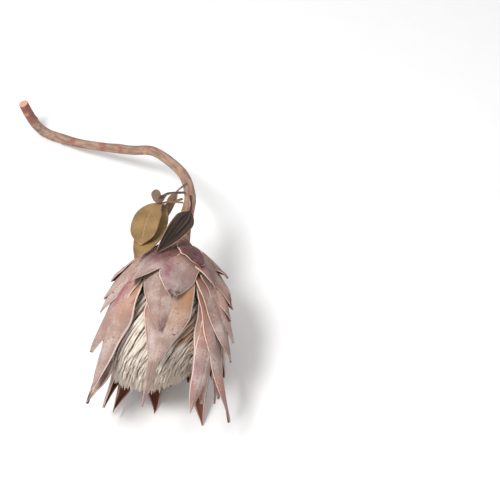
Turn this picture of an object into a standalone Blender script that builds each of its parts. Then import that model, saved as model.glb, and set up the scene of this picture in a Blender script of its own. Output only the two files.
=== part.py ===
"""A cut and dried king protea flower, lying on a surface: stem, leaves, receptacle, bracts and florets."""
import math

import bmesh
import bpy
import numpy as np
from mathutils import Vector

MM = 0.001

# How the flower lies: the head's base, and the way the head points (down and towards -Y)
HEAD_BASE = Vector((0.0654, -0.0369, 0.0832))
HEAD_TURN = math.radians(8.5)       # to the left of -Y
HEAD_DROP = math.radians(18)        # below the horizon
SEAT_GAP = 0.3 * MM                 # clearance left where two pieces meet

# The cup that the bracts follow: radius against the distance from the head's base
NECK_RADIUS = 12 * MM
CUP_SPREAD = 47 * MM
CUP_REACH = 24 * MM
ROW_RISE = 1.3 * MM                 # each row of bracts nests this much higher
ROW_INSET = 1.3 * MM                # and this much closer to the axis
FOOT_STEP = 1.0 * MM                # while its feet stand this much further out

BRACT_THICKNESS = 0.6 * MM
TIP_HALF_WIDTH = 0.7 * MM           # smallest half width of a bract or leaf towards its tip
BRACT_FOOT = 0.3                    # width at the foot, as a share of the full width
BRACT_WIDEST = 0.47                 # share of the length where a bract is widest
BRACT_CUP = 0.03                    # how far the edges curl in, as a share of the half width
BEND_FROM = 0.45                    # share of the length where a bract starts to bend out
TAIL_WIDTH = 0.24                   # width of a drawn-out tip, as a share of the full width
STEPS_ALONG = 8
STEPS_ACROSS = 4

# Each row from the outermost in. A bract is: azimuth of its foot (degrees, 0 is the upper side, positive
# to the right), length and width (mm), sideways lean and outward bend of its tip (degrees), tip bluntness,
# which below 1 is where along its narrowing part the blade has shrunk to a drawn-out tip
BRACT_ROWS = [
    [(26, 47, 25, 6, 0, 2.2), (82, 40, 26, 4, 0, 2.0), (150, 48, 28, 0, 0, 2.0), (-146, 50, 28, -3, 0, 2.0),
     (-84, 42, 27, -5, 0, 2.0)],
    [(44, 60, 31, 6, 0, 1.8), (-14, 67, 34, -15, 0, 2.0), (-73, 56, 30, -3, 0, 1.8), (104, 58, 31, 4, 0, 1.8),
     (164, 62, 32, 3, 0, 1.8), (-129, 60, 31, -5, 0, 1.8)],
    [(15, 73, 34.5, -6, 0, 2.6), (67, 61, 30, 8, 0, 1.8), (-58, 70, 34, -11, 1, 1.8),
     (128, 72, 33, 4, 0, 1.8), (-172, 73, 33, -3, 1, 1.8), (-114, 70, 33, -5, 0, 1.8)],
    [(66, 70, 32, 9, 1, 1.8), (-56, 77, 38, -18, 2, 1.8), (120, 80, 35, 3, 1, 1.8), (174, 84, 36, 2, 1, 1.8),
     (-131, 84, 36, -3, 1, 1.8)],
    [(-2, 94, 42, 4, 0, 1.3), (55, 82, 36, 32, 7, 1.8), (114, 88, 35, 4, 2, 1.8), (165, 92, 35, 2, 2, 1.8),
     (-145, 94, 36, -2, 2, 1.8), (-94, 86, 36, -4, 3, 1.8)],
    [(-50, 103, 44, -24, 5, 1.8), (50, 95, 38, 34, 9, 1.8), (110, 100, 34, 5, 2, 1.8),
     (158, 100, 36, 2, 2, 1.8), (-154, 106, 34, -2, 2, 1.8), (-108, 106, 32, -4, 2, 1.8)],
    [(12.3, 144, 40, -14, -8, 0.68), (-49, 143, 42, -10, 4, 1.5), (92, 100, 24, 4, 5, 1.8),
     (131, 95, 32, 2, 4, 1.8), (176, 101, 34, 0, 2, 1.8), (-136, 114, 38, -3, 2, 1.8)],
    [(47, 132, 30, 50, 20, 1.9), (101, 112, 28, 2, 3, 1.8), (141, 129, 33, -2, 8.8, 1.8),
     (-160, 108, 34, -2, 1, 1.8), (-104, 112, 32, -4, 3, 1.8)],
    [(-72, 130, 32, -4, 3, 1.7), (61, 133, 19, -9, 3, 2.4), (-118, 124, 32, -5, 4, 1.7),
     (-162, 119, 28, -5, -6.7, 1.7)],
    [(-133, 121, 30, -3, 1, 1.7), (58, 118, 24, 0, 1, 1.7), (88, 108, 16, 8, 3, 1.5)],
]

# Receptacle: the woody cone that the bracts stand on
RECEPTACLE_BOTTOM = -5 * MM
RECEPTACLE_TOP = 27 * MM
RECEPTACLE_EDGE = 7 * MM            # radius of its lower face, where the stem ends
TURN_STEPS = 24

# Floret mass: a dome that fills the cup down to its innermost row
FLORET_CLEARANCE = 2.5 * MM
FLORET_SHOULDER = 92 * MM           # distance from the head's base where the dome starts to close
FLORET_TOP = 125 * MM

# Stem: a straight neck on the head's axis with its two radii (mm), then points from the head to the cut
# end, from the head's base (mm), and the radius at each
NECK_LENGTH = 10 * MM
NECK_RADII = [6.6, 6.0]
STEM_ROUTE = [
    ((4.6, 29, 9), 5.6), ((6, 52, 9), 5.0), ((-4, 95, -8), 4.6), ((-32, 144, -31), 4.5),
    ((-59, 163, -47.5), 4.4), ((-107, 191, -67.5), 4.5), ((-133, 209, -76.5), 4.6),
    ((-147.5, 217, -78.3), 4.8), ((-157, 222, -74.5), 4.9), ((-162.5, 224, -66), 4.9),
    ((-168.8, 224, -43), 4.8),
]
STEM_POINTS = 32

# Leaves: points along the middle from the head's base (mm), full width (mm), share of the length where it
# is widest, turn of its flat side about the middle line (degrees), tip bluntness
LEAVES = {
    "leaf_front": ([(0.6, 38, 14), (-12, 28, 25), (-22, 16, 30), (-27, -2, 33), (-30, -23, 30)],
                   23, 0.72, -6, 4),
    "leaf_back": ([(0, 44, 12), (-10, 33, 18), (-18, 21, 21), (-24, -8, 26.5), (-34, -37, 30)],
                  22, 0.66, 10, 3),
    "leaf_spoon": ([(2, 50, 13.6), (-11, 36, 27), (-18, 26, 31), (-22, 34, 34)], 8, 0.82, 20, 4),
    "leaf_pointed": ([(2.4, 63, 11.3), (-5, 53, 11), (-10, 41, 8), (-13, 29, 4)], 11, 0.55, -30, 1.6),
    "leaf_striped": ([(7, 44, 16.2), (8, 16, 26), (-3, -12, 33), (-17, -33, 32)], 17, 0.5, 25, 2),
}
LEAF_THICKNESS = 0.8 * MM
LEAF_STEPS = 11
STALK_SHARE = 0.3                   # share of a leaf's length that is stalk, before the blade
STALK_HALF_WIDTH = 1.2 * MM

OUTER_BRACT = (0.62, 0.49, 0.46)
FLORET_CREAM = (0.76, 0.70, 0.60)
BARK = (0.38, 0.28, 0.22)
RECEPTACLE_BROWN = (0.30, 0.20, 0.15)
LEAF_OLIVE = (0.33, 0.26, 0.13)


def clear_scene():
    for old in list(bpy.data.objects):
        bpy.data.objects.remove(old)


def make_material(name, color, roughness):
    material = bpy.data.materials.new(name)
    material.use_nodes = True
    shader = material.node_tree.nodes["Principled BSDF"]
    shader.inputs["Base Color"].default_value = (*color, 1)
    shader.inputs["Roughness"].default_value = roughness
    shader.inputs["Metallic"].default_value = 0.0
    return material


def head_axes():
    """Unit vectors of the head's frame: to its right, up, and along its axis towards the opening."""
    axis = Vector((-math.sin(HEAD_TURN) * math.cos(HEAD_DROP), -math.cos(HEAD_TURN) * math.cos(HEAD_DROP),
                   -math.sin(HEAD_DROP)))
    right = Vector((0, 0, 1)).cross(axis).normalized()
    up = axis.cross(right)
    return right, up, axis


def place_head_frame(obj):
    """Stands an object that is modelled along +Z, with +Y as its upper side, in the head's frame."""
    right, up, axis = head_axes()
    matrix = obj.matrix_world.to_4x4()
    for column, vector in enumerate((right, up, axis)):
        matrix.col[column][:3] = vector
    matrix.translation = HEAD_BASE
    obj.matrix_world = matrix


def cup_radius(height):
    return NECK_RADIUS + CUP_SPREAD * (1 - np.exp(-np.maximum(height, 0) / CUP_REACH))


def row_foot(row):
    """Height on the cup's curve where a row's feet reach their radius."""
    return -CUP_REACH * math.log(1 - (FOOT_STEP + ROW_INSET) * row / CUP_SPREAD)


def row_profile(row, length, count=200):
    """Heights and radii along a row's side view, at equal steps of arc length from its foot."""
    height = np.linspace(0, 1.2 * length, 6 * count) + row_foot(row)
    radius = cup_radius(height) - ROW_INSET * row
    height = height + ROW_RISE * row
    arc = np.concatenate([[0], np.cumsum(np.hypot(np.diff(height), np.diff(radius)))])
    wanted = np.linspace(0, length, count)
    return np.interp(wanted, arc, height), np.interp(wanted, arc, radius)


def blade_half_width(share, foot, widest, bluntness):
    """Outline of a bract or leaf, from 0 to 1, against the share of its length."""
    rising = foot + (1 - foot) * np.sin(np.clip(share / widest, 0, 1) * math.pi / 2) ** 1.2
    past = np.clip((share - widest) / (1 - widest), 0, 1)
    if bluntness >= 1:
        falling = 1 - past ** bluntness
    else:
        falling = np.maximum(1 - past / bluntness, TAIL_WIDTH * (1 - past ** 3))
    return np.where(share < widest, rising, falling)


def bract_surface(row, azimuth, length, width, lean, bend, bluntness, share, across):
    """Points of a bract's sheet in the head's frame; share runs foot to tip, across from -1 to 1."""
    height, radius = row_profile(row, length)
    steps = np.linspace(0, 1, len(height))
    slope = np.arctan2(np.gradient(radius), np.gradient(height))
    slope = slope + math.radians(bend) * np.clip((steps - BEND_FROM) / (1 - BEND_FROM), 0, 1)
    stride = length / (len(height) - 1)
    height = height[0] + np.concatenate([[0], np.cumsum(np.cos(slope[:-1]) * stride)])
    radius = radius[0] + np.concatenate([[0], np.cumsum(np.sin(slope[:-1]) * stride)])
    height, radius, slope = (np.interp(share, steps, values) for values in (height, radius, slope))
    half = width / 2 * blade_half_width(share, BRACT_FOOT, BRACT_WIDEST, bluntness)
    half = np.maximum(half, TIP_HALF_WIDTH)
    angle = math.radians(azimuth) + math.radians(lean) * share ** 1.5 + across * half / radius
    curl = BRACT_CUP * across ** 2 * half * np.clip(1.5 * share, 0, 1)
    radius = radius - curl * np.cos(slope)
    height = height + curl * np.sin(slope)
    return np.stack([radius * np.sin(angle), radius * np.cos(angle), height], axis=-1)


def sheet_object(name, surface, along, across, thickness, material, collection):
    """A grid laid on surface(share, across) and given its thickness."""
    mesh = bpy.data.meshes.new(name)
    grid = bmesh.new()
    bmesh.ops.create_grid(grid, x_segments=along, y_segments=across, size=1)
    grid.verts.ensure_lookup_table()
    flat = np.array([vert.co for vert in grid.verts])
    share = ((flat[:, 0] + 1) / 2) ** 1.4
    for vert, point in zip(grid.verts, surface(share, flat[:, 1])):
        vert.co = point
    grid.to_mesh(mesh)
    grid.free()
    mesh.shade_smooth()
    mesh.materials.append(material)
    obj = bpy.data.objects.new(name, mesh)
    collection.objects.link(obj)
    shell = obj.modifiers.new("thickness", "SOLIDIFY")
    shell.thickness = thickness
    shell.offset = 0
    return obj


def add_bracts(collection):
    material = make_material("bract", OUTER_BRACT, 0.75)
    for row, bracts in enumerate(BRACT_ROWS):
        for number, (azimuth, length, width, lean, bend, bluntness) in enumerate(bracts, 1):
            def surface(share, across):
                return bract_surface(row, azimuth, length * MM, width * MM, lean, bend, bluntness,
                                     share, across)

            bract = sheet_object(f"bract_row{row + 1}_{number}", surface, STEPS_ALONG, STEPS_ACROSS,
                                 BRACT_THICKNESS, material, collection)
            place_head_frame(bract)


def turned_object(name, profile, material, collection):
    """A solid turned about its own Z from (radius, height) points that run from the top down."""
    mesh = bpy.data.meshes.new(name)
    edges = [(index, index + 1) for index in range(len(profile) - 1)]
    mesh.from_pydata([(radius, 0, height) for radius, height in profile], edges, [])
    mesh.materials.append(material)
    obj = bpy.data.objects.new(name, mesh)
    collection.objects.link(obj)
    turn = obj.modifiers.new("turn", "SCREW")
    turn.steps = turn.render_steps = TURN_STEPS
    turn.use_merge_vertices = True
    turn.merge_threshold = 0.00001
    turn.use_smooth_shade = True
    place_head_frame(obj)
    return obj


def add_receptacle(collection):
    """Its side keeps just inside the feet of all the rows."""
    rows = np.arange(len(BRACT_ROWS))
    feet_height = np.array([row_foot(row) for row in rows]) + ROW_RISE * rows
    feet_radius = NECK_RADIUS + FOOT_STEP * rows - BRACT_THICKNESS / 2 - SEAT_GAP
    heights = np.linspace(RECEPTACLE_TOP, 0, 8)
    side = [(float(np.interp(height, feet_height, feet_radius)), float(height)) for height in heights]
    profile = [(0, RECEPTACLE_TOP)] + side + [(RECEPTACLE_EDGE, RECEPTACLE_BOTTOM), (0, RECEPTACLE_BOTTOM)]
    turned_object("receptacle", profile, make_material("receptacle", RECEPTACLE_BROWN, 0.8), collection)


def add_floret_mass(collection):
    innermost = len(BRACT_ROWS) - 1

    def side_radius(height):
        own = height - ROW_RISE * innermost
        return float(cup_radius(own)) - ROW_INSET * innermost - FLORET_CLEARANCE

    bottom = RECEPTACLE_TOP + SEAT_GAP
    side = [(side_radius(height), height) for height in np.linspace(FLORET_SHOULDER, bottom, 9)]
    dome = []
    for angle in np.linspace(math.pi / 2, 0, 10)[:-1]:
        height = FLORET_SHOULDER + (FLORET_TOP - FLORET_SHOULDER) * math.sin(angle)
        dome.append((side[0][0] * math.cos(angle), height))
    dome[0] = (0, FLORET_TOP)
    profile = dome + side + [(0, bottom)]
    turned_object("floret_mass", profile, make_material("floret", FLORET_CREAM, 0.85), collection)


def smooth_route(points, count):
    """A Catmull-Rom curve through the points, read at even parameter steps."""
    points = np.array(points, dtype=float)
    padded = np.vstack([2 * points[0] - points[1], points, 2 * points[-1] - points[-2]])
    result = []
    for value in np.linspace(0, len(points) - 1, count):
        index = min(int(value), len(points) - 2)
        t = value - index
        p0, p1, p2, p3 = padded[index:index + 4]
        result.append(0.5 * (2 * p1 + (p2 - p0) * t + (2 * p0 - 5 * p1 + 4 * p2 - p3) * t * t
                             + (3 * p1 - p0 - 3 * p2 + p3) * t ** 3))
    return np.array(result)


def from_head_base(point):
    """World place of a point that is given in mm from the head's base."""
    return HEAD_BASE + Vector(point) * MM


def add_stem(collection):
    axis = head_axes()[2]
    start = HEAD_BASE + axis * (RECEPTACLE_BOTTOM - SEAT_GAP)
    places = [start, start - axis * NECK_LENGTH] + [from_head_base(point) for point, _ in STEM_ROUTE]
    radii = NECK_RADII + [radius for _, radius in STEM_ROUTE]
    route = smooth_route([(*place, radius * MM) for place, radius in zip(places, radii)], STEM_POINTS)
    curve = bpy.data.curves.new("stem", "CURVE")
    curve.dimensions = "3D"
    curve.bevel_depth = 1.0
    curve.bevel_resolution = 3
    curve.use_fill_caps = True
    spline = curve.splines.new("POLY")
    spline.points.add(len(route) - 1)
    for point, (x, y, z, radius) in zip(spline.points, route):
        point.co = (x, y, z, 1)
        point.radius = radius
    curve.materials.append(make_material("bark", BARK, 0.85))
    stem = bpy.data.objects.new("stem", curve)
    collection.objects.link(stem)


def add_leaves(collection):
    material = make_material("leaf", LEAF_OLIVE, 0.7)
    for name, (points, width, widest, turn, bluntness) in LEAVES.items():
        middle = smooth_route([from_head_base(point) for point in points], 60)
        steps = np.linspace(0, 1, len(middle))
        along = np.gradient(middle, axis=0)
        along /= np.linalg.norm(along, axis=1, keepdims=True)
        side = np.cross(along, (0, 0, 1))
        side /= np.linalg.norm(side, axis=1, keepdims=True)
        lift = np.cross(side, along)
        side = side * math.cos(math.radians(turn)) + lift * math.sin(math.radians(turn))

        def surface(share, across):
            centre = np.stack([np.interp(share, steps, middle[:, axis]) for axis in range(3)], axis=-1)
            sideways = np.stack([np.interp(share, steps, side[:, axis]) for axis in range(3)], axis=-1)
            blade = np.clip((share - STALK_SHARE) / (1 - STALK_SHARE), 0, 1)
            blade_widest = (widest - STALK_SHARE) / (1 - STALK_SHARE)
            half = width / 2 * MM * blade_half_width(blade, 0, blade_widest, bluntness)
            half = np.maximum(half, np.where(share < 0.5, STALK_HALF_WIDTH, TIP_HALF_WIDTH))
            return centre + sideways * (across * half)[:, None]

        sheet_object(name, surface, LEAF_STEPS, STEPS_ACROSS, LEAF_THICKNESS, material, collection)


def main():
    clear_scene()
    flower = bpy.data.collections.new("king_protea_flower")
    bpy.context.scene.collection.children.link(flower)
    add_stem(flower)
    add_receptacle(flower)
    add_floret_mass(flower)
    add_bracts(flower)
    add_leaves(flower)


main()
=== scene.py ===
"""The looks of the king protea flower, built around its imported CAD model."""
import math

import bmesh
import bpy
import numpy as np
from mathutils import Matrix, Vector


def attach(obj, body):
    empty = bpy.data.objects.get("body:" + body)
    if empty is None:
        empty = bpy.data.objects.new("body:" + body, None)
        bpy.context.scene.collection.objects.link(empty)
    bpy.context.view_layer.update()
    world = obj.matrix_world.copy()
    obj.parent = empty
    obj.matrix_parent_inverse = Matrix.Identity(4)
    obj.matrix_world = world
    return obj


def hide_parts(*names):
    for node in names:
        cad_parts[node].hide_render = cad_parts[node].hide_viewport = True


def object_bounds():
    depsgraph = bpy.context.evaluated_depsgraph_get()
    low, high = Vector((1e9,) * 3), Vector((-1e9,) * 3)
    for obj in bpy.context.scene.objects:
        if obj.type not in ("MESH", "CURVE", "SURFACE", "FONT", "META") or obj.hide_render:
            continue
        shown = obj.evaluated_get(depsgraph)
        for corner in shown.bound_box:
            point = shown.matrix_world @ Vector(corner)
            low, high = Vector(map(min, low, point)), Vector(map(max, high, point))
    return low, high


MM = 0.001

# ---------------------------------------------------------------- values shared with the part's source
HEAD_BASE = Vector((0.0654, -0.0369, 0.0832))
HEAD_TURN = math.radians(8.5)
HEAD_DROP = math.radians(18)
NECK_RADIUS = 12 * MM
CUP_SPREAD = 47 * MM
CUP_REACH = 24 * MM
ROW_RISE = 1.3 * MM
ROW_INSET = 1.3 * MM
FOOT_STEP = 1.0 * MM
BRACT_FOOT = 0.3
BRACT_WIDEST = 0.47
BRACT_CUP = 0.03
BEND_FROM = 0.45
TAIL_WIDTH = 0.24
SEAT_GAP = 0.3 * MM
# Each bract: azimuth of its foot, length and width (mm), lean, outward bend, tip bluntness
BRACT_ROWS = [
    [(26, 47, 25, 6, 0, 2.2), (82, 40, 26, 4, 0, 2.0), (150, 48, 28, 0, 0, 2.0), (-146, 50, 28, -3, 0, 2.0),
     (-84, 42, 27, -5, 0, 2.0)],
    [(44, 60, 31, 6, 0, 1.8), (-14, 67, 34, -15, 0, 2.0), (-73, 56, 30, -3, 0, 1.8), (104, 58, 31, 4, 0, 1.8),
     (164, 62, 32, 3, 0, 1.8), (-129, 60, 31, -5, 0, 1.8)],
    [(15, 73, 34.5, -6, 0, 2.6), (67, 61, 30, 8, 0, 1.8), (-58, 70, 34, -11, 1, 1.8),
     (128, 72, 33, 4, 0, 1.8), (-172, 73, 33, -3, 1, 1.8), (-114, 70, 33, -5, 0, 1.8)],
    [(66, 70, 32, 9, 1, 1.8), (-56, 77, 38, -18, 2, 1.8), (120, 80, 35, 3, 1, 1.8), (174, 84, 36, 2, 1, 1.8),
     (-131, 84, 36, -3, 1, 1.8)],
    [(-2, 94, 42, 4, 0, 1.3), (55, 82, 36, 32, 7, 1.8), (114, 88, 35, 4, 2, 1.8), (165, 92, 35, 2, 2, 1.8),
     (-145, 94, 36, -2, 2, 1.8), (-94, 86, 36, -4, 3, 1.8)],
    [(-50, 103, 44, -24, 5, 1.8), (50, 95, 38, 34, 9, 1.8), (110, 100, 34, 5, 2, 1.8),
     (158, 100, 36, 2, 2, 1.8), (-154, 106, 34, -2, 2, 1.8), (-108, 106, 32, -4, 2, 1.8)],
    [(12.3, 144, 40, -14, -8, 0.68), (-49, 143, 42, -10, 4, 1.5), (92, 100, 24, 4, 5, 1.8),
     (131, 95, 32, 2, 4, 1.8), (176, 101, 34, 0, 2, 1.8), (-136, 114, 38, -3, 2, 1.8)],
    [(47, 132, 30, 50, 20, 1.9), (101, 112, 28, 2, 3, 1.8), (141, 129, 33, -2, 8.8, 1.8),
     (-160, 108, 34, -2, 1, 1.8), (-104, 112, 32, -4, 3, 1.8)],
    [(-72, 130, 32, -4, 3, 1.7), (61, 133, 19, -9, 3, 2.4), (-118, 124, 32, -5, 4, 1.7),
     (-162, 119, 28, -5, -6.7, 1.7)],
    [(-133, 121, 30, -3, 1, 1.7), (58, 118, 24, 0, 1, 1.7), (88, 108, 16, 8, 3, 1.5)],
]
RECEPTACLE_BOTTOM = -5 * MM
RECEPTACLE_TOP = 27 * MM
FLORET_CLEARANCE = 2.5 * MM
FLORET_SHOULDER = 92 * MM
FLORET_TOP = 125 * MM
NECK_LENGTH = 10 * MM
NECK_RADII = [6.6, 6.0]
# Points from the head's base and radii (mm)
STEM_ROUTE = [
    ((4.6, 29, 9), 5.6), ((6, 52, 9), 5.0), ((-4, 95, -8), 4.6), ((-32, 144, -31), 4.5),
    ((-59, 163, -47.5), 4.4), ((-107, 191, -67.5), 4.5), ((-133, 209, -76.5), 4.6),
    ((-147.5, 217, -78.3), 4.8), ((-157, 222, -74.5), 4.9), ((-162.5, 224, -66), 4.9),
    ((-168.8, 224, -43), 4.8),
]
STALK_SHARE = 0.3
# Each leaf: points from the head's base (mm), width (mm), share where it is widest, turn, tip bluntness
LEAVES = {
    "leaf_front": ([(0.6, 38, 14), (-12, 28, 25), (-22, 16, 30), (-27, -2, 33), (-30, -23, 30)],
                   23, 0.72, -6, 4),
    "leaf_back": ([(0, 44, 12), (-10, 33, 18), (-18, 21, 21), (-24, -8, 26.5), (-34, -37, 30)],
                  22, 0.66, 10, 3),
    "leaf_spoon": ([(2, 50, 13.6), (-11, 36, 27), (-18, 26, 31), (-22, 34, 34)], 8, 0.82, 20, 4),
    "leaf_pointed": ([(2.4, 63, 11.3), (-5, 53, 11), (-10, 41, 8), (-13, 29, 4)], 11, 0.55, -30, 1.6),
    "leaf_striped": ([(7, 44, 16.2), (8, 16, 26), (-3, -12, 33), (-17, -33, 32)], 17, 0.5, 25, 2),
}


def head_axes():
    """Unit vectors of the head's frame: to its right, up, and along its axis towards the opening."""
    axis = Vector((-math.sin(HEAD_TURN) * math.cos(HEAD_DROP), -math.cos(HEAD_TURN) * math.cos(HEAD_DROP),
                   -math.sin(HEAD_DROP)))
    right = Vector((0, 0, 1)).cross(axis).normalized()
    return right, axis.cross(right), axis


HEAD_MATRIX = np.array([list(vector) for vector in head_axes()])


def head_to_world(points):
    return points @ HEAD_MATRIX + np.array(HEAD_BASE)


def cup_radius(height):
    return NECK_RADIUS + CUP_SPREAD * (1 - np.exp(-np.maximum(height, 0) / CUP_REACH))


def row_foot(row):
    """Height on the cup's curve where a row's feet reach their radius."""
    return -CUP_REACH * math.log(1 - (FOOT_STEP + ROW_INSET) * row / CUP_SPREAD)


def row_profile(row, length, count=200):
    """Heights and radii along a row's side view, at equal steps of arc length from its foot."""
    height = np.linspace(0, 1.2 * length, 6 * count) + row_foot(row)
    radius = cup_radius(height) - ROW_INSET * row
    height = height + ROW_RISE * row
    arc = np.concatenate([[0], np.cumsum(np.hypot(np.diff(height), np.diff(radius)))])
    wanted = np.linspace(0, length, count)
    return np.interp(wanted, arc, height), np.interp(wanted, arc, radius)


def blade_half_width(share, foot, widest, bluntness):
    """Outline of a bract or leaf, from 0 to 1, against the share of its length."""
    rising = foot + (1 - foot) * np.sin(np.clip(share / widest, 0, 1) * math.pi / 2) ** 1.2
    past = np.clip((share - widest) / (1 - widest), 0, 1)
    if bluntness >= 1:
        falling = 1 - past ** bluntness
    else:
        falling = np.maximum(1 - past / bluntness, TAIL_WIDTH * (1 - past ** 3))
    return np.where(share < widest, rising, falling)


# ---------------------------------------------------------------- shader helpers
class Shader:
    """A short way to wire a Principled material."""

    def __init__(self, name, roughness, sheen=0.0):
        self.material = bpy.data.materials.new(name)
        self.material.use_nodes = True
        self.tree = self.material.node_tree
        self.bsdf = self.tree.nodes["Principled BSDF"]
        self.bsdf.inputs["Roughness"].default_value = roughness
        self.bsdf.inputs["Specular IOR Level"].default_value = 0.25
        if sheen:
            self.bsdf.inputs["Sheen Weight"].default_value = sheen
            self.bsdf.inputs["Sheen Roughness"].default_value = 0.6

    def put(self, socket, value):
        if isinstance(value, bpy.types.NodeSocket):
            self.tree.links.new(value, socket)
        else:
            socket.default_value = value

    def attribute(self, name):
        made = self.tree.nodes.new("ShaderNodeAttribute")
        made.attribute_name = name
        return made.outputs["Fac"]

    def math(self, operation, a, b=0.5, clamp=False):
        made = self.tree.nodes.new("ShaderNodeMath")
        made.operation = operation
        made.use_clamp = clamp
        self.put(made.inputs[0], a)
        self.put(made.inputs[1], b)
        return made.outputs[0]

    def ramp(self, value, low, high, out_low=0.0, out_high=1.0):
        made = self.tree.nodes.new("ShaderNodeMapRange")
        made.interpolation_type = "SMOOTHSTEP"
        for key, number in zip(("Value", "From Min", "From Max", "To Min", "To Max"),
                               (value, low, high, out_low, out_high)):
            self.put(made.inputs[key], number)
        return made.outputs["Result"]

    def noise(self, scale, detail=3.0, vector=None, rough=0.5):
        made = self.tree.nodes.new("ShaderNodeTexNoise")
        made.inputs["Scale"].default_value = scale
        made.inputs["Detail"].default_value = detail
        made.inputs["Roughness"].default_value = rough
        self.put(made.inputs["Vector"], vector if vector is not None else self.position())
        return made.outputs["Fac"]

    def position(self):
        return self.tree.nodes.new("ShaderNodeTexCoord").outputs["Object"]

    def combine(self, x, y, z=0.0):
        made = self.tree.nodes.new("ShaderNodeCombineXYZ")
        for socket, value in zip(made.inputs, (x, y, z)):
            self.put(socket, value)
        return made.outputs[0]

    def mix(self, factor, a, b, blend="MIX"):
        made = self.tree.nodes.new("ShaderNodeMix")
        made.data_type = "RGBA"
        made.blend_type = blend
        self.put(made.inputs[0], factor)
        for socket, value in zip((made.inputs[6], made.inputs[7]), (a, b)):
            self.put(socket, value if isinstance(value, bpy.types.NodeSocket) else (*value, 1))
        return made.outputs[2]

    def finish(self, color, height=None, strength=0.3, distance=0.0006, roughness=None):
        self.put(self.bsdf.inputs["Base Color"], color)
        if roughness is not None:
            self.put(self.bsdf.inputs["Roughness"], roughness)
        if height is not None:
            bump = self.tree.nodes.new("ShaderNodeBump")
            bump.inputs["Strength"].default_value = strength
            bump.inputs["Distance"].default_value = distance
            self.put(bump.inputs["Height"], height)
            self.put(self.bsdf.inputs["Normal"], bump.outputs["Normal"])
        return self.material


def outer_bract_material():
    s = Shader("bract_outer", 0.85, sheen=0.08)
    along, across, tint = s.attribute("along"), s.attribute("across"), s.attribute("tint")
    tan, stain, dark, wine_and_shade = (s.attribute(name) for name in ("tan", "stain", "dark", "wine_and_shade"))
    blush = s.math("MULTIPLY", s.attribute("blush"), s.ramp(s.noise(28, 3), 0.42, 0.68))
    patches = s.noise(70, 4)
    fine = s.noise(900, 4, rough=0.65)
    strand_place = s.combine(s.math("MULTIPLY", across, 46), s.math("MULTIPLY", along, 5), tint)
    strands = s.noise(1.0, 3, strand_place, rough=0.6)
    color = s.mix(s.ramp(patches, 0.35, 0.68), (0.30, 0.205, 0.175), (0.52, 0.41, 0.365))
    color = s.mix(blush, color, (0.40, 0.165, 0.120))
    color = s.mix(s.ramp(tint, 0.0, 9.0, 0.0, 0.35), color, (0.50, 0.42, 0.38))
    color = s.mix(s.ramp(strands, 0.35, 0.75, 0.0, 0.42), color, (0.24, 0.12, 0.10))
    bloom = s.math("MULTIPLY", s.ramp(fine, 0.48, 0.7), s.ramp(patches, 0.3, 0.65, 0.15, 0.65))
    color = s.mix(bloom, color, (0.66, 0.57, 0.53))
    color = s.mix(s.math("MULTIPLY", tan, s.ramp(s.noise(45, 3), 0.2, 0.6, 0.5, 0.95)), color,
                  (0.43, 0.215, 0.112))
    color = s.mix(s.math("MULTIPLY", stain, s.ramp(s.noise(160, 4), 0.3, 0.62, 0.35, 1.0)), color,
                  (0.27, 0.060, 0.105))
    specks = s.math("MULTIPLY", s.ramp(s.noise(420, 2), 0.62, 0.69), s.ramp(patches, 0.42, 0.6))
    color = s.mix(s.math("MULTIPLY", specks, 0.75), color, (0.16, 0.05, 0.045))
    hairs = s.math("MULTIPLY", dark, s.ramp(s.noise(240, 3), 0.42, 0.6))
    color = s.mix(hairs, color, (0.055, 0.025, 0.022))
    # dark wine-brown: the bract's own colour, and near its foot partly painted shade
    color = s.mix(s.math("MULTIPLY", wine_and_shade, s.ramp(s.noise(200, 4), 0.25, 0.6, 0.6, 1.0)), color,
                  (0.080, 0.018, 0.018))
    side = s.math("ABSOLUTE", across)
    rust = s.math("MULTIPLY", s.ramp(side, 0.80, 0.93), s.ramp(s.noise(60, 3), 0.45, 0.6))
    color = s.mix(s.math("MULTIPLY", rust, 0.8), color, (0.33, 0.11, 0.07))
    color = s.mix(s.ramp(side, 0.92, 0.955, 0, 0.9), color, (0.78, 0.66, 0.59))
    color = s.mix(s.ramp(side, 0.975, 1.0, 0, 0.8), color, (0.27, 0.095, 0.065))
    height = s.math("ADD", s.math("MULTIPLY", strands, 0.6), s.math("MULTIPLY", fine, 0.5))
    return s.finish(color, height, 0.55, 0.0007)


def inner_bract_material():
    s = Shader("bract_inner", 0.55)
    along, across = s.attribute("along"), s.attribute("across")
    strands = s.noise(1.0, 3, s.combine(s.math("MULTIPLY", across, 30), s.math("MULTIPLY", along, 5)))
    color = s.mix(s.ramp(s.noise(40, 3), 0.35, 0.65), (0.095, 0.026, 0.018), (0.30, 0.11, 0.055))
    color = s.mix(s.ramp(along, 0.55, 0.95, 0, 0.6), color, (0.14, 0.035, 0.035))
    color = s.mix(s.ramp(strands, 0.35, 0.75, 0, 0.4), color, (0.06, 0.02, 0.016))
    color = s.mix(s.ramp(s.math("ABSOLUTE", across), 0.83, 0.95, 0, 0.85), color, (0.62, 0.42, 0.33))
    return s.finish(color, strands, 0.4, 0.0005)


def edge_material():
    s = Shader("bract_edge", 0.8)
    color = s.mix(s.ramp(s.noise(120, 3), 0.35, 0.65), (0.62, 0.42, 0.33), (0.30, 0.11, 0.07))
    return s.finish(color, s.noise(800, 2), 0.3)


def hair_material():
    s = Shader("bract_hair", 0.7)
    color = s.mix(s.ramp(s.noise(150, 2), 0.4, 0.6), (0.66, 0.55, 0.50), (0.30, 0.17, 0.13))
    return s.finish(color, s.noise(900, 1), 0.1)


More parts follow.
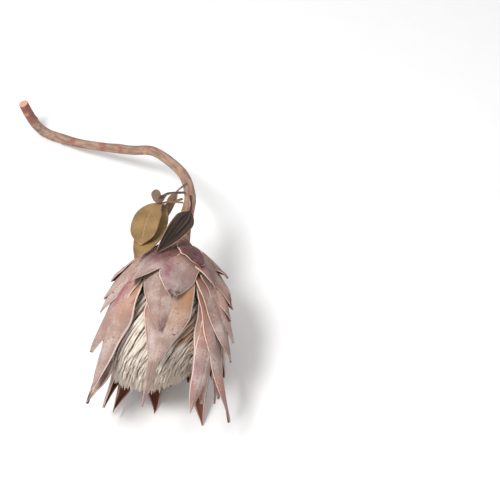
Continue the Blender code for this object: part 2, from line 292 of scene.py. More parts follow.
def floret_material():
    s = Shader("floret", 0.75, sheen=0.3)
    along, tint = s.attribute("along"), s.attribute("tint")
    color = s.mix(s.ramp(s.noise(120, 3), 0.3, 0.7), (0.66, 0.57, 0.49), (0.86, 0.79, 0.71))
    color = s.mix(s.ramp(tint, 0.6, 1.0, 0, 0.4), color, (0.46, 0.33, 0.22))
    color = s.mix(s.attribute("tan"), color, (0.42, 0.24, 0.13))
    color = s.mix(s.ramp(along, 0.94, 1.0, 0, 0.45), color, (0.45, 0.33, 0.24))
    color = s.mix(s.ramp(along, 0.4, 0.05, 0, 0.8), color, (0.30, 0.18, 0.12))
    fibres = s.noise(1500, 3, rough=0.6)
    color = s.mix(s.ramp(fibres, 0.4, 0.7, 0, 0.2), color, (0.36, 0.27, 0.19))
    return s.finish(color, fibres, 0.25, 0.0003)


def core_material():
    s = Shader("floret_core", 0.9)
    # dark brown: painted shade deep among the florets
    color = s.mix(s.noise(400, 3), (0.10, 0.055, 0.03), (0.24, 0.15, 0.09))
    return s.finish(color, s.noise(700, 2), 0.5)


def bark_material():
    s = Shader("bark", 0.78)
    along, around, scar = s.attribute("along"), s.attribute("across"), s.attribute("dark")
    streak_place = s.combine(s.math("MULTIPLY", along, 26), s.math("MULTIPLY", around, 9))
    streaks = s.noise(1.0, 5, streak_place, rough=0.65)
    grain = s.noise(700, 4, rough=0.65)
    color = s.mix(s.ramp(streaks, 0.35, 0.65), (0.235, 0.135, 0.095), (0.42, 0.275, 0.205))
    color = s.mix(s.ramp(s.noise(60, 4), 0.55, 0.7, 0, 0.7), color, (0.27, 0.085, 0.06))
    red_end = s.math("MULTIPLY", s.ramp(along, 0.88, 0.95), s.ramp(s.noise(120, 3), 0.3, 0.6, 0.5, 1.0))
    color = s.mix(red_end, color, (0.25, 0.085, 0.075))
    mottle = s.math("MULTIPLY", s.ramp(s.noise(170, 4), 0.52, 0.62), s.ramp(along, 0.70, 0.84))
    color = s.mix(s.math("MULTIPLY", mottle, 0.75), color, (0.13, 0.115, 0.095))
    color = s.mix(s.ramp(grain, 0.5, 0.75, 0, 0.4), color, (0.52, 0.40, 0.32))
    color = s.mix(scar, color, (0.62, 0.33, 0.15))
    height = s.math("ADD", s.math("MULTIPLY", streaks, 0.8), s.math("MULTIPLY", grain, 0.4))
    return s.finish(color, height, 0.7, 0.0009)


def cut_material():
    s = Shader("cut_wood", 0.8)
    grain = s.noise(900, 3)
    color = s.mix(s.ramp(grain, 0.35, 0.7), (0.70, 0.43, 0.27), (0.55, 0.27, 0.15))
    return s.finish(color, grain, 0.4)


def leaf_material(name, light, deep, vein):
    s = Shader(name, 0.6)
    along, across = s.attribute("along"), s.attribute("across")
    mottle = s.noise(90, 4)
    fine = s.noise(800, 3, rough=0.6)
    color = s.mix(s.ramp(mottle, 0.3, 0.7), deep, light)
    side = s.math("ABSOLUTE", across)
    ribs = s.math("SINE", s.math("MULTIPLY", s.math("SUBTRACT", along, s.math("MULTIPLY", side, 0.22)), 95))
    color = s.mix(s.ramp(ribs, 0.7, 1.0, 0, 0.25), color, vein)
    color = s.mix(s.ramp(side, 0.08, 0.02, 0, 0.45), color, vein)
    color = s.mix(s.ramp(side, 0.93, 0.99, 0, 0.6), color, (0.20, 0.12, 0.05))
    color = s.mix(s.ramp(fine, 0.62, 0.8, 0, 0.5), color, deep)
    height = s.math("ADD", s.math("MULTIPLY", ribs, 0.15), fine)
    return s.finish(color, height, 0.45, 0.0006)


def striped_material():
    s = Shader("leaf_striped", 0.5)
    along, across = s.attribute("along"), s.attribute("across")
    stripe = s.noise(1.0, 2, s.combine(s.math("MULTIPLY", across, 6), s.math("MULTIPLY", along, 1.5)))
    color = s.mix(s.ramp(stripe, 0.45, 0.62), (0.012, 0.008, 0.006), (0.085, 0.05, 0.034))
    color = s.mix(s.ramp(s.math("ABSOLUTE", across), 0.9, 0.99, 0, 0.8), color, (0.36, 0.20, 0.10))
    return s.finish(color, stripe, 0.6, 0.0008)


def receptacle_material():
    s = Shader("receptacle_bark", 0.85)
    grain = s.noise(300, 4)
    color = s.mix(s.ramp(grain, 0.3, 0.7), (0.13, 0.06, 0.045), (0.32, 0.20, 0.14))
    return s.finish(color, grain, 0.7, 0.001)


# ---------------------------------------------------------------- mesh helpers
def set_attribute(mesh, key, values):
    layer = mesh.attributes.new(key, "FLOAT", "POINT")
    layer.data.foreach_set("value", np.asarray(values, dtype=np.float32).ravel())


def link_object(name, data):
    obj = bpy.data.objects.new(name, data)
    bpy.context.scene.collection.objects.link(obj)
    return obj


def mesh_from_grid(name, points, attributes, closed_across=False):
    """A smooth mesh on a (rows, columns, 3) array of points, with one float attribute per entry."""
    rows, columns = points.shape[:2]
    index = np.arange(rows * columns).reshape(rows, columns)
    right = np.roll(index, -1, axis=1) if closed_across else index[:, 1:]
    left = index if closed_across else index[:, :-1]
    faces = np.stack([left[:-1], left[1:], right[1:], right[:-1]], axis=-1).reshape(-1, 4)
    mesh = bpy.data.meshes.new(name)
    mesh.from_pydata(points.reshape(-1, 3).tolist(), [], faces.tolist())
    for key, values in attributes.items():
        set_attribute(mesh, key, np.broadcast_to(values, (rows, columns)))
    mesh.shade_smooth()
    return link_object(name, mesh)


def add_shell(obj, thickness):
    """Gives a sheet its thickness: slot 0 is its outer side, slot 1 its inner side, slot 2 its rim."""
    shell = obj.modifiers.new("thickness", "SOLIDIFY")
    shell.thickness = thickness
    shell.offset = 0
    shell.material_offset = 1
    shell.material_offset_rim = 2
    shell.use_even_offset = False


def smooth_step(value, low, high):
    t = np.clip((value - low) / (high - low), 0, 1)
    return t * t * (3 - 2 * t)


def spot(along, across, at, size, turn=0.0):
    """A soft oval spot on a blade, centred at (along, across)."""
    da, dc = along - at[0], across - at[1]
    ca, sa = math.cos(turn), math.sin(turn)
    u, v = (da * ca + dc * sa) / size[0], (dc * ca - da * sa) / size[1]
    return np.exp(-(u * u + v * v))


# ---------------------------------------------------------------- bracts
BRACT_STEPS = 66
BRACT_COLUMNS = 23
BRACT_SHEET = 0.5 * MM
BRACT_TIP_HALF_WIDTH = 0.35 * MM
CREASE_DEPTH = 0.55 * MM            # of the fold along the middle
SIDE_CREASE_DEPTH = 0.30 * MM
RIPPLE = 0.55 * MM                  # of the whole blade, and finer ones of the blade and its edges
FINE_RIPPLE = 0.35 * MM
EDGE_RIPPLE = 0.30 * MM
LOOSE_ROWS = 6                      # this many outer rows stand off a little at their tips
TIP_LIFT = 2.0 * MM                 # and by this much
OUTER_ROWS = 8                      # the rows inside these have rolled-in edges and tips that swing more
SHORT_BRACT = 60 * MM               # bracts up to this length don't swing
# By (row, number), as in the names of the nodes: magenta spots as place, size, strength and turn
STAINS = {
    (1, 1): [((0.55, 0.0), (0.6, 0.9), 0.95, 0.0)],
    (3, 1): [((0.62, -0.52), (0.24, 0.26), 0.85, 0.4)],
    (2, 2): [((0.50, 0.35), (0.25, 0.50), 0.9, 0.0)],
    (6, 1): [((0.50, 0.30), (0.13, 0.34), 0.95, 0.2)],
    (2, 1): [((0.80, -0.2), (0.25, 0.5), 0.5, 0.0)],
    (8, 1): [((0.35, -0.3), (0.2, 0.4), 0.35, 0.0)],
    (5, 1): [((0.66, 0.05), (0.03, 0.09), 0.7, 0.0), ((0.76, 0.0), (0.04, 0.08), 0.8, 0.0),
             ((0.86, 0.05), (0.03, 0.1), 0.7, 0.0), ((0.96, 0.0), (0.04, 0.5), 0.7, 0.0)],
    (9, 2): [((0.80, -0.8), (0.2, 0.4), 0.45, 0.0)],
}
# How strongly a bract is dark wine-brown all over, and on the half near its foot, where this darkening is
# partly its own colour and partly painted shade from the outer bracts and a leaf over it; and black at its
# tip
SHADES = {(1, 1): 0.95, (2, 1): 0.55, (1, 5): 0.5, (1, 2): 0.5, (3, 1): 0.25}
FOOT_WINE_AND_SHADE = {(2, 2): 0.85, (3, 2): 0.4, (2, 4): 0.5, (4, 1): 0.35, (5, 2): 0.3, (6, 2): 0.25}
DARK_TIPS = {(3, 1): 0.9, (7, 2): 0.9, (2, 2): 0.35, (6, 2): 0.5, (9, 1): 0.6, (4, 1): 0.8,
             (3, 2): 0.8, (1, 1): 0.7}
# How strongly rust-red patches show; the right-hand bracts are the redder ones
BLUSH = 0.45
RIGHT_BLUSH = 0.9
RIGHT_SIDE = (25, 120)              # azimuths (degrees)
# Turn of the blade about its own middle line, at the tip (degrees)
TWISTS = {(9, 1): 38, (9, 3): 34, (10, 1): 8, (9, 4): -6, (9, 2): -18, (8, 1): -10}


def bract_points(row, azimuth, length, width, lean, bend, bluntness, twist, rng):
    """The middle sheet of a bract in the head's frame, dried, creased and rippled."""
    share = np.linspace(0, 1, BRACT_STEPS) ** 1.15
    across = np.linspace(-1, 1, BRACT_COLUMNS)
    height, radius = row_profile(row, length)
    steps = np.linspace(0, 1, len(height))
    slope = np.arctan2(np.gradient(radius), np.gradient(height))
    slope = slope + math.radians(bend) * np.clip((steps - BEND_FROM) / (1 - BEND_FROM), 0, 1)
    stride = length / (len(height) - 1)
    height = height[0] + np.concatenate([[0], np.cumsum(np.cos(slope[:-1]) * stride)])
    radius = radius[0] + np.concatenate([[0], np.cumsum(np.sin(slope[:-1]) * stride)])
    height, radius, slope = (np.interp(share, steps, values)[:, None] for values in (height, radius, slope))
    half = width / 2 * blade_half_width(share, BRACT_FOOT, BRACT_WIDEST, bluntness)
    ragged = 1 + 0.035 * np.sin(share * rng.uniform(18, 30) + rng.uniform(0, 6)) * (share > 0.25)
    half = (np.maximum(half, BRACT_TIP_HALF_WIDTH) * ragged)[:, None]
    share_2d, across_2d = share[:, None], across[None, :]
    swing = rng.uniform(-9, 9) * (1.0 if row >= OUTER_ROWS else 0.3) * smooth_step(share_2d, 0.72, 1.0)
    swing = swing * (length > SHORT_BRACT)
    angle = np.radians(azimuth) + np.radians(lean) * share_2d ** 1.5 + np.radians(swing)
    angle = angle + across_2d * half / radius
    free = smooth_step(share_2d, 0.35, 0.95)
    curl = BRACT_CUP * across_2d ** 2 * np.clip(1.5 * share_2d, 0, 1)
    curl = curl + free * rng.uniform(0.10, 0.38) * across_2d ** 2
    edge_roll = rng.uniform(0.25, 0.65, 2) if row >= OUTER_ROWS else rng.uniform(-0.12, 0.28, 2)
    roll = np.where(across_2d < 0, edge_roll[0], edge_roll[1]) * np.abs(across_2d) ** 5
    inward = (curl + roll * smooth_step(share_2d, 0.2, 0.7)) * half
    phase = rng.uniform(0, 6.28, 4)
    ripple = (RIPPLE * np.sin(7 * share_2d + phase[0] + 2.2 * across_2d)
              + FINE_RIPPLE * np.sin(15 * share_2d + phase[1] - 3.0 * across_2d))
    inward = inward + ripple * free + EDGE_RIPPLE * np.sin(22 * share_2d + phase[2]) * across_2d ** 4
    crease = CREASE_DEPTH * np.exp(-(across_2d / 0.10) ** 2) * smooth_step(share_2d, 0.25, 0.6)
    side_crease = SIDE_CREASE_DEPTH * np.exp(-((across_2d - rng.uniform(0.35, 0.6)) / 0.08) ** 2)
    inward = inward + crease + side_crease * smooth_step(share_2d, 0.3, 0.6)
    twist = math.radians(twist) * smooth_step(share_2d, 0.5, 0.9)
    inward = inward + across_2d * half * np.sin(twist)
    if row < LOOSE_ROWS:
        inward = inward - TIP_LIFT * smooth_step(share_2d, 0.6, 1.0)
    radius = radius - inward * np.cos(slope)
    height = height + inward * np.sin(slope)
    points = np.stack(np.broadcast_arrays(radius * np.sin(angle), radius * np.cos(angle), height), axis=-1)
    return points, share_2d, across_2d


def add_bracts(materials, hair):
    """One thin shell for each bract of the CAD, with its colour patches as attributes."""
    hairs = []
    for row, bracts in enumerate(BRACT_ROWS):
        for number, (azimuth, length, width, lean, bend, bluntness) in enumerate(bracts, 1):
            rng = np.random.default_rng(100 * row + number)
            key = (row + 1, number)
            twist = TWISTS.get(key, rng.uniform(-24, 24))
            points, along, across = bract_points(row, azimuth, length * MM, width * MM, lean, bend,
                                                 bluntness, twist, rng)
            # the darkening of the foot half is partly painted shade under the outer bracts
            wine_and_shade = SHADES.get(key, 0) + FOOT_WINE_AND_SHADE.get(key, 0) * (1 - smooth_step(along, 0.45, 0.75))
            stain = sum(power * spot(along, across, place, size, turn)
                        for place, size, power, turn in STAINS.get(key, []))
            dark = DARK_TIPS.get(key, 0.12) * smooth_step(along, 0.82, 0.98) * np.ones_like(across)
            tan = (1 - smooth_step(along, 0.28, 0.62)) * rng.uniform(0.55, 1.0) + 0 * across
            tan = tan + 0.25 * rng.uniform(0, 1) * spot(along, across, (0.6, 0.5), (0.3, 0.5))
            blush = RIGHT_BLUSH if RIGHT_SIDE[0] < azimuth < RIGHT_SIDE[1] else BLUSH
            values = {"along": along, "across": across, "tint": rng.uniform(0, 9), "tan": np.clip(tan, 0, 1),
                      "stain": np.clip(stain, 0, 1) * np.ones_like(tan), "dark": dark,
                      "wine_and_shade": wine_and_shade * np.ones_like(tan), "blush": blush}
            name = f"bract_row{row + 1}_{number}"
            world = head_to_world(points)
            world[..., 2] = np.maximum(world[..., 2], CAD_BOX[0][2] + BRACT_SHEET / 2)
            obj = mesh_from_grid("fine_" + name, world, values)
            for material in materials:
                obj.data.materials.append(material)
            add_shell(obj, BRACT_SHEET)
            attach(obj, "root")
            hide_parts(name)
            hairs.append(fringe_points(points, row, rng))
    add_fringe(hairs, hair)


HAIR_LENGTH = 1.7 * MM
HAIR_RADIUS = 0.07 * MM
HAIRS_PER_EDGE = 75


def fringe_points(points, row, rng):
    """Thin three-sided hairs along both edges of a bract, as corner points of four per hair."""
    hairs = []
    for edge, inner in ((0, 2), (-1, -3)):
        spots = rng.uniform(0.22, 0.995, HAIRS_PER_EDGE) * (BRACT_STEPS - 1)
        low = spots.astype(int)
        part = (spots - low)[:, None]
        root = points[low, edge] * (1 - part) + points[low + 1, edge] * part
        forward = points[low + 1, edge] - points[low, edge]
        outward = points[low, edge] - points[low, inner]
        forward /= np.linalg.norm(forward, axis=1, keepdims=True) + 1e-9
        outward /= np.linalg.norm(outward, axis=1, keepdims=True) + 1e-9
        size = HAIR_LENGTH * rng.uniform(0.35, 1.0, (len(spots), 1)) * (1.0 if row < LOOSE_ROWS else 0.55)
        tip = root + size * (outward + forward * rng.uniform(0.2, 1.6, (len(spots), 1))
                             + rng.normal(0, 0.25, root.shape)) / 1.5
        a = rng.normal(0, 1, root.shape)
        a = HAIR_RADIUS * a / np.linalg.norm(a, axis=1, keepdims=True)
        b = np.cross(a, outward)
        hairs.append(np.stack([root + a, root - 0.5 * a + 0.87 * b, root - 0.5 * a - 0.87 * b, tip], axis=1))
    return np.concatenate(hairs)


def add_fringe(hairs, material):
    """All the hairs in one mesh, each a long four-cornered spike."""
    corners = np.concatenate(hairs)
    faces = np.array([[0, 1, 3], [1, 2, 3], [2, 0, 3], [0, 2, 1]])
    faces = (faces[None] + 4 * np.arange(len(corners))[:, None, None]).reshape(-1, 3)
    mesh = bpy.data.meshes.new("bract_fringe")
    mesh.from_pydata(head_to_world(corners.reshape(-1, 3)).tolist(), [], faces.tolist())
    mesh.materials.append(material)
    fringe = link_object("bract_fringe", mesh)
    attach(fringe, "root")


# ---------------------------------------------------------------- florets
FLORET_COUNT = 640
FLORET_SIDES = 7
FLORET_RINGS = 16
GOLDEN_ANGLE = math.pi * (3 - math.sqrt(5))
FLORET_SPREAD = 0.985               # share of the dome's radius that the outermost floret keeps to
FLORET_SWIRL = math.radians(66)     # turn of a floret about the axis from its tip down to its foot
FLORET_TILT = 0.3                   # how much further the florets reach, per mm to the left of the axis
FLORET_DROP = 2.5 * MM              # how far the tips stay below the CAD dome
FLORET_GAP = 1.0 * MM               # kept free over the receptacle and around the dome's shoulder
FLORET_SIDE_GAP = 1.2 * MM          # kept free below the shoulder, beside the innermost bracts
FLORET_SHIFT = 2.2 * MM             # how far the tips lean to the left
FLORET_GIRTH = (0.95 * MM, 1.3 * MM)
FLORET_KNOB = 0.45                  # how much thicker a floret is just below its tip
CHAFF_SIDE = (0.35, 1.1)            # directions between which the outer florets are tan chaff (radians)
CORE_DEPTH = 17 * MM                # how far the dark core stays below the tips
CORE_SIDE_GAP = 4 * MM
CORE_RINGS, CORE_SIDES = 26, 48


def side_radius(height):
    """Radius of the innermost row's inside."""
    innermost = len(BRACT_ROWS) - 1
    return cup_radius(height - ROW_RISE * innermost) - ROW_INSET * innermost - FLORET_CLEARANCE


def tube_points(path, radii, sides):
    """Rings of points around a path."""
    along = np.gradient(path, axis=0)
    along /= np.linalg.norm(along, axis=1, keepdims=True)
    reference = np.array([0.31, 0.87, 0.38])
    side = np.cross(along, reference)
    side /= np.linalg.norm(side, axis=1, keepdims=True)
    other = np.cross(along, side)
    angles = np.linspace(0, 2 * math.pi, sides, endpoint=False)
    rings = side[:, None] * np.cos(angles)[None, :, None] + other[:, None] * np.sin(angles)[None, :, None]
    return path[:, None] + rings * np.asarray(radii)[:, None, None]


def floret_path(q, turn, u, rng):
    """A floret's middle line in the head's frame, from its foot (u = 0) to its tip (u = 1)."""
    shoulder_radius = float(side_radius(FLORET_SHOULDER)) - FLORET_GAP
    top = FLORET_SHOULDER + (FLORET_TOP - FLORET_SHOULDER) * math.sqrt(1 - q * q) - FLORET_DROP
    top = top - FLORET_TILT * q * shoulder_radius * math.sin(turn) + rng.normal(0, 1.2 * MM)
    height = RECEPTACLE_TOP + FLORET_GAP + (top - RECEPTACLE_TOP) * u
    side = side_radius(np.minimum(height, FLORET_SHOULDER)) - FLORET_SIDE_GAP
    radius = q * np.minimum(side, shoulder_radius)
    radius = radius - smooth_step(u, 0.72, 1.0) * q ** 3 * rng.uniform(1.5, 5.0) * MM
    angle = turn + (FLORET_SWIRL + rng.normal(0, math.radians(2))) * (1 - u)
    wander = rng.normal(0, 0.35 * MM, 2) * u[:, None] ** 2
    path = np.stack([radius * np.sin(angle), radius * np.cos(angle), height], axis=-1)
    path[:, :2] += wander
    path[:, 0] -= FLORET_SHIFT * smooth_step(u, 0.4, 1.0)
    return path


def floret_radii(u, rng):
    """Thin at the foot, slimmer below the tip, with a knob there and a rounded end."""
    radii = rng.uniform(*FLORET_GIRTH) * (0.55 + 0.45 * smooth_step(u, 0.0, 0.5))
    radii = radii * (1 - 0.2 * smooth_step(u, 0.6, 0.86))
    radii = radii * (1 + FLORET_KNOB * np.exp(-((u - 0.96) / 0.035) ** 2))
    radii[-1] = 0.25 * radii[-2]
    return radii


def add_florets(material):
    """Every floret is a thin tube, set out in a sunflower spiral; all are in one mesh."""
    rng = np.random.default_rng(7)
    u = np.linspace(0, 1, FLORET_RINGS)
    per_floret = FLORET_RINGS * FLORET_SIDES
    vertices, faces, tint, tan = [], [], [], []
    for index in range(FLORET_COUNT):
        q = math.sqrt((index + 0.5) / FLORET_COUNT) * FLORET_SPREAD
        turn = index * GOLDEN_ANGLE + rng.normal(0, 0.03)
        path = floret_path(q, turn, u, rng)
        rings = tube_points(path, floret_radii(u, rng), FLORET_SIDES)
        ids = np.arange(per_floret).reshape(FLORET_RINGS, FLORET_SIDES) + index * per_floret
        next_ids = np.roll(ids, -1, axis=1)
        faces += np.stack([ids[:-1], next_ids[:-1], next_ids[1:], ids[1:]], axis=-1).reshape(-1, 4).tolist()
        faces.append(ids[-1].tolist())
        faces.append(ids[0][::-1].tolist())
        vertices.append(rings.reshape(-1, 3))
        tint.append(rng.uniform(0, 1))
        chaff = q > 0.9 and CHAFF_SIDE[0] < turn % (2 * math.pi) < CHAFF_SIDE[1]
        tan.append(float(chaff) * rng.uniform(0.4, 1.0))
    mesh = bpy.data.meshes.new("florets")
    mesh.from_pydata(head_to_world(np.concatenate(vertices)).tolist(), [], faces)
    set_attribute(mesh, "along", np.tile(np.repeat(u, FLORET_SIDES), FLORET_COUNT))
    set_attribute(mesh, "tint", np.repeat(tint, per_floret))
    set_attribute(mesh, "tan", np.repeat(tan, per_floret))
    mesh.shade_smooth()
    mesh.materials.append(material)
    florets = link_object("florets", mesh)
    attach(florets, "root")
    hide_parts("floret_mass")


def add_floret_core(material):
    """A body between the florets, so that nothing shows through them; its dark colour is painted shade of the
    deep among them.
    """
    share = np.linspace(0, 1, CORE_RINGS)
    shoulder = FLORET_SHOULDER - CORE_DEPTH
    rise = FLORET_TOP - CORE_DEPTH - shoulder
    dome = np.clip((share - 0.5) * math.pi, 0, math.pi / 2)
    height = np.where(share < 0.5, RECEPTACLE_TOP + (shoulder - RECEPTACLE_TOP) * share * 2,
                      shoulder + rise * np.sin(dome))
    radius = np.where(share < 0.5, side_radius(height), side_radius(shoulder) * np.cos(dome))
    radius = np.maximum(radius - CORE_SIDE_GAP, 0.2 * MM)
    angles = np.linspace(0, 2 * math.pi, CORE_SIDES, endpoint=False)
    points = np.stack([radius[:, None] * np.sin(angles), radius[:, None] * np.cos(angles),
                       np.repeat(height[:, None], CORE_SIDES, 1)], axis=-1)
    inside = mesh_from_grid("floret_core", head_to_world(points), {"along": share[:, None]},
                            closed_across=True)
    inside.data.flip_normals()
    cap_rings(inside.data, CORE_RINGS, CORE_SIDES)
    inside.data.materials.append(material)
    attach(inside, "root")


def cap_rings(mesh, rings, sides):
    """Closes the two open ends of a tube made of rings."""
    shape = bmesh.new()
    shape.from_mesh(mesh)
    shape.verts.ensure_lookup_table()
    shape.faces.new([shape.verts[index] for index in range(sides)])
    shape.faces.new([shape.verts[(rings - 1) * sides + index] for index in reversed(range(sides))])
    bmesh.ops.recalc_face_normals(shape, faces=shape.faces)
    shape.to_mesh(mesh)
    shape.free()


# ---------------------------------------------------------------- stem and leaves
def smooth_route(points, count):
    """A Catmull-Rom curve through the points, read at even parameter steps."""
    points = np.array(points, dtype=float)
    padded = np.vstack([2 * points[0] - points[1], points, 2 * points[-1] - points[-2]])
    result = []
    for value in np.linspace(0, len(points) - 1, count):
        index = min(int(value), len(points) - 2)
        t = value - index
        p0, p1, p2, p3 = padded[index:index + 4]
        result.append(0.5 * (2 * p1 + (p2 - p0) * t + (2 * p0 - 5 * p1 + 4 * p2 - p3) * t * t
                             + (3 * p1 - p0 - 3 * p2 + p3) * t ** 3))
    return np.array(result)


def from_head_base(point):
    return HEAD_BASE + Vector(point) * MM


STEM_RINGS, STEM_SIDES = 260, 36
STEM_LUMP = 0.11 * MM
SCAR_LUMP = 0.65 * MM
CUT_EDGE = 0.35 * MM
# Leaf scars: share of the stem's length, share of its girth, strength of the colour
SCARS = [(0.965, 0.30, 0.9), (0.915, 0.62, 0.8), (0.80, 0.25, 0.9), (0.71, 0.55, 0.5), (0.66, 0.30, 0.7),
         (0.52, 0.70, 0.6), (0.44, 0.35, 0.7), (0.33, 0.60, 0.6), (0.25, 0.20, 0.7)]


def stem_relief(share, around):
    """Long low lumps with a swelling at every scar, and where the scars' colour shows."""
    rng = np.random.default_rng(3)
    lumps = sum(rng.uniform(0.2, 0.5) * np.sin(share * rng.uniform(10, 60) + rng.uniform(0, 6)
                + 2 * math.pi * rng.integers(1, 4) * around) for _ in range(7)) * STEM_LUMP
    scar = np.zeros_like(lumps)
    for place, turn, power in SCARS:
        gap = np.abs(around - turn)
        gap = np.minimum(gap, 1 - gap)
        mark = np.exp(-((share - place) / 0.006) ** 2 - (gap / 0.085) ** 2)
        scar = np.maximum(scar, power * mark)
        lumps = lumps + SCAR_LUMP * np.exp(-((share - place) / 0.011) ** 2 - (gap / 0.14) ** 2)
    return lumps, scar


def add_stem(bark, cut):
    axis = head_axes()[2]
    start = HEAD_BASE + axis * (RECEPTACLE_BOTTOM - SEAT_GAP)
    places = [start, start - axis * NECK_LENGTH] + [from_head_base(point) for point, _ in STEM_ROUTE]
    radii = NECK_RADII + [radius for _, radius in STEM_ROUTE]
    route = smooth_route([(*place, radius * MM) for place, radius in zip(places, radii)], STEM_RINGS)
    share = np.linspace(0, 1, STEM_RINGS)[:, None]
    around = np.linspace(0, 1, STEM_SIDES, endpoint=False)[None]
    lumps, scar = stem_relief(share, around)
    path, girth = route[:, :3], route[:, 3]
    points = tube_points(path, np.ones(STEM_RINGS), STEM_SIDES)
    points = path[:, None] + (points - path[:, None]) * (girth[:, None] + lumps)[..., None]
    stem = mesh_from_grid("fine_stem", points, {"along": share, "across": around, "dark": scar},
                          closed_across=True)
    cap_rings(stem.data, STEM_RINGS, STEM_SIDES)
    stem.data.materials.append(bark)
    stem.data.materials.append(cut)
    for face in stem.data.polygons:
        face.material_index = 1 if len(face.vertices) > 4 else 0
    bevel = stem.modifiers.new("cut_edge", "BEVEL")
    bevel.width = CUT_EDGE
    bevel.segments = 2
    bevel.limit_method = "ANGLE"
    bevel.angle_limit = math.radians(50)
    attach(stem, "root")
    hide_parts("stem")


LEAF_SHEET = 0.7 * MM
LEAF_ROWS, LEAF_COLUMNS = 60, 21
STALK_HALF_WIDTH = 1.1 * MM
LEAF_TIP_HALF_WIDTH = 0.4 * MM


def add_leaves(materials, edge):
    """Blades that cup a little, with a groove for the midrib and a stalk below."""
    for order, (name, (points, width, widest, turn, bluntness)) in enumerate(LEAVES.items()):
        rng = np.random.default_rng(40 + order)
        middle = smooth_route([from_head_base(point) for point in points], LEAF_ROWS)
        along = np.gradient(middle, axis=0)
        along /= np.linalg.norm(along, axis=1, keepdims=True)
        side = np.cross(along, (0, 0, 1))
        side /= np.linalg.norm(side, axis=1, keepdims=True)
        lift = np.cross(side, along)
        side, lift = (side * math.cos(math.radians(turn)) + lift * math.sin(math.radians(turn)),
                      lift * math.cos(math.radians(turn)) - side * math.sin(math.radians(turn)))
        share = np.linspace(0, 1, LEAF_ROWS)
        across = np.linspace(-1, 1, LEAF_COLUMNS)
        blade = np.clip((share - STALK_SHARE) / (1 - STALK_SHARE), 0, 1)
        blade_widest = (widest - STALK_SHARE) / (1 - STALK_SHARE)
        half = width / 2 * MM * blade_half_width(blade, 0, blade_widest, bluntness)
        half = np.maximum(half, np.where(share < 0.5, STALK_HALF_WIDTH, LEAF_TIP_HALF_WIDTH))[:, None]
        cup = (0.16 * across[None] ** 2 * half + 0.35 * MM * np.sin(9 * share[:, None] + rng.uniform(0, 6))
               * across[None] ** 2)
        ridge = -0.35 * MM * np.exp(-(across[None] / 0.08) ** 2)
        grid = (middle[:, None] + side[:, None] * (across[None] * half)[..., None]
                + lift[:, None] * (cup + ridge)[..., None])
        leaf = mesh_from_grid("fine_" + name, grid, {"along": share[:, None], "across": across[None]})
        for material in (materials[name], materials[name], edge):
            leaf.data.materials.append(material)
        add_shell(leaf, LEAF_SHEET)
        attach(leaf, "root")
        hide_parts(name)


# ---------------------------------------------------------------- stage
CAMERA_TILT = math.radians(50)
CAMERA_LENS = 80
CAMERA_DISTANCE = 0.935
HEAD_IN_FRAME = (0.362, 0.494)      # the head's base, as shares of the frame from its left and its top
SENSOR = 36
KEY_PLACE = Vector((-0.42, -0.42, 1.25))
KEY_TARGET = Vector((0.02, -0.05, 0.03))
KEY_SIZE = 0.45
KEY_ENERGY = 14
WORLD_STRENGTH = 0.68
FLOOR_HALF_SIDE = 6


def add_camera():
    """Looks along +Y and down, with the head's base at its place in the square frame."""
    forward = Vector((0, math.cos(CAMERA_TILT), -math.sin(CAMERA_TILT)))
    upward = Vector((0, math.sin(CAMERA_TILT), math.cos(CAMERA_TILT)))
    field = SENSOR / CAMERA_LENS * CAMERA_DISTANCE
    place = HEAD_BASE - forward * CAMERA_DISTANCE
    place = place - Vector((1, 0, 0)) * (HEAD_IN_FRAME[0] - 0.5) * field
    place = place + upward * (HEAD_IN_FRAME[1] - 0.5) * field
    data = bpy.data.cameras.new("camera")
    data.lens = CAMERA_LENS
    data.sensor_width = SENSOR
    data.clip_end = 20
    camera = link_object("camera", data)
    camera.location = place
    camera.rotation_euler = (math.pi / 2 - CAMERA_TILT, 0, 0)
    bpy.context.scene.camera = camera


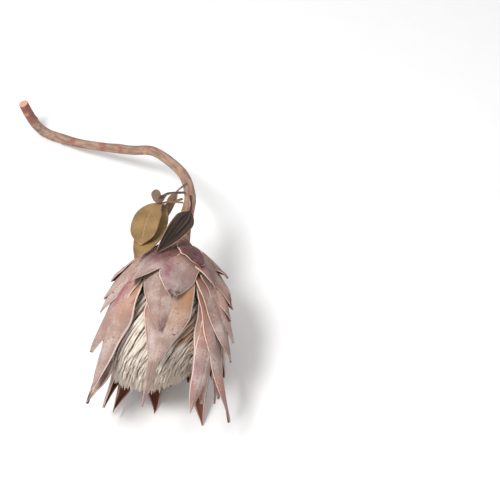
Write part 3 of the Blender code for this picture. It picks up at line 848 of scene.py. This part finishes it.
def add_key_light():
    data = bpy.data.lights.new("key", "AREA")
    data.shape = "DISK"
    data.size = KEY_SIZE
    data.energy = KEY_ENERGY
    light = link_object("key", data)
    light.location = KEY_PLACE
    light.rotation_euler = (KEY_TARGET - KEY_PLACE).to_track_quat("-Z", "Y").to_euler()


def add_floor():
    mesh = bpy.data.meshes.new("floor")
    shape = bmesh.new()
    bmesh.ops.create_grid(shape, x_segments=1, y_segments=1, size=FLOOR_HALF_SIDE)
    shape.to_mesh(mesh)
    shape.free()
    floor = link_object("floor", mesh)
    floor.location = (0, 0, CAD_BOX[0][2])
    s = Shader("floor", 0.9)
    mesh.materials.append(s.finish(s.mix(s.noise(30), (0.93, 0.93, 0.93), (0.90, 0.90, 0.90))))


def add_world():
    world = bpy.data.worlds.new("studio")
    world.use_nodes = True
    background = world.node_tree.nodes["Background"]
    background.inputs["Color"].default_value = (1, 1, 1, 1)
    background.inputs["Strength"].default_value = WORLD_STRENGTH
    bpy.context.scene.world = world
    bpy.context.scene.view_settings.view_transform = "Standard"


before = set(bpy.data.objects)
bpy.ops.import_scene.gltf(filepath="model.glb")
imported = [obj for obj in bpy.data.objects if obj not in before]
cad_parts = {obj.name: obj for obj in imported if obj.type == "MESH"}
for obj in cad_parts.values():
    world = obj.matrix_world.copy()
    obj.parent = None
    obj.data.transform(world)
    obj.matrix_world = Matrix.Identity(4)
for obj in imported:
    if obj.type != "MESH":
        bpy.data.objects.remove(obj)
CAD_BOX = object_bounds()
add_camera()
add_bracts((outer_bract_material(), inner_bract_material(), edge_material()), hair_material())
add_florets(floret_material())
add_floret_core(core_material())
add_stem(bark_material(), cut_material())
olive = leaf_material("leaf_olive", (0.33, 0.205, 0.085), (0.22, 0.135, 0.055), (0.40, 0.27, 0.13))
brown = leaf_material("leaf_brown", (0.20, 0.13, 0.085), (0.10, 0.06, 0.045), (0.26, 0.17, 0.11))
leaf_looks = {"leaf_front": olive, "leaf_back": olive, "leaf_spoon": brown, "leaf_pointed": brown,
              "leaf_striped": striped_material()}
add_leaves(leaf_looks, edge_material())
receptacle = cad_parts["receptacle"]
receptacle.data.materials.clear()
receptacle.data.materials.append(receptacle_material())
add_floor()
add_key_light()
add_world()
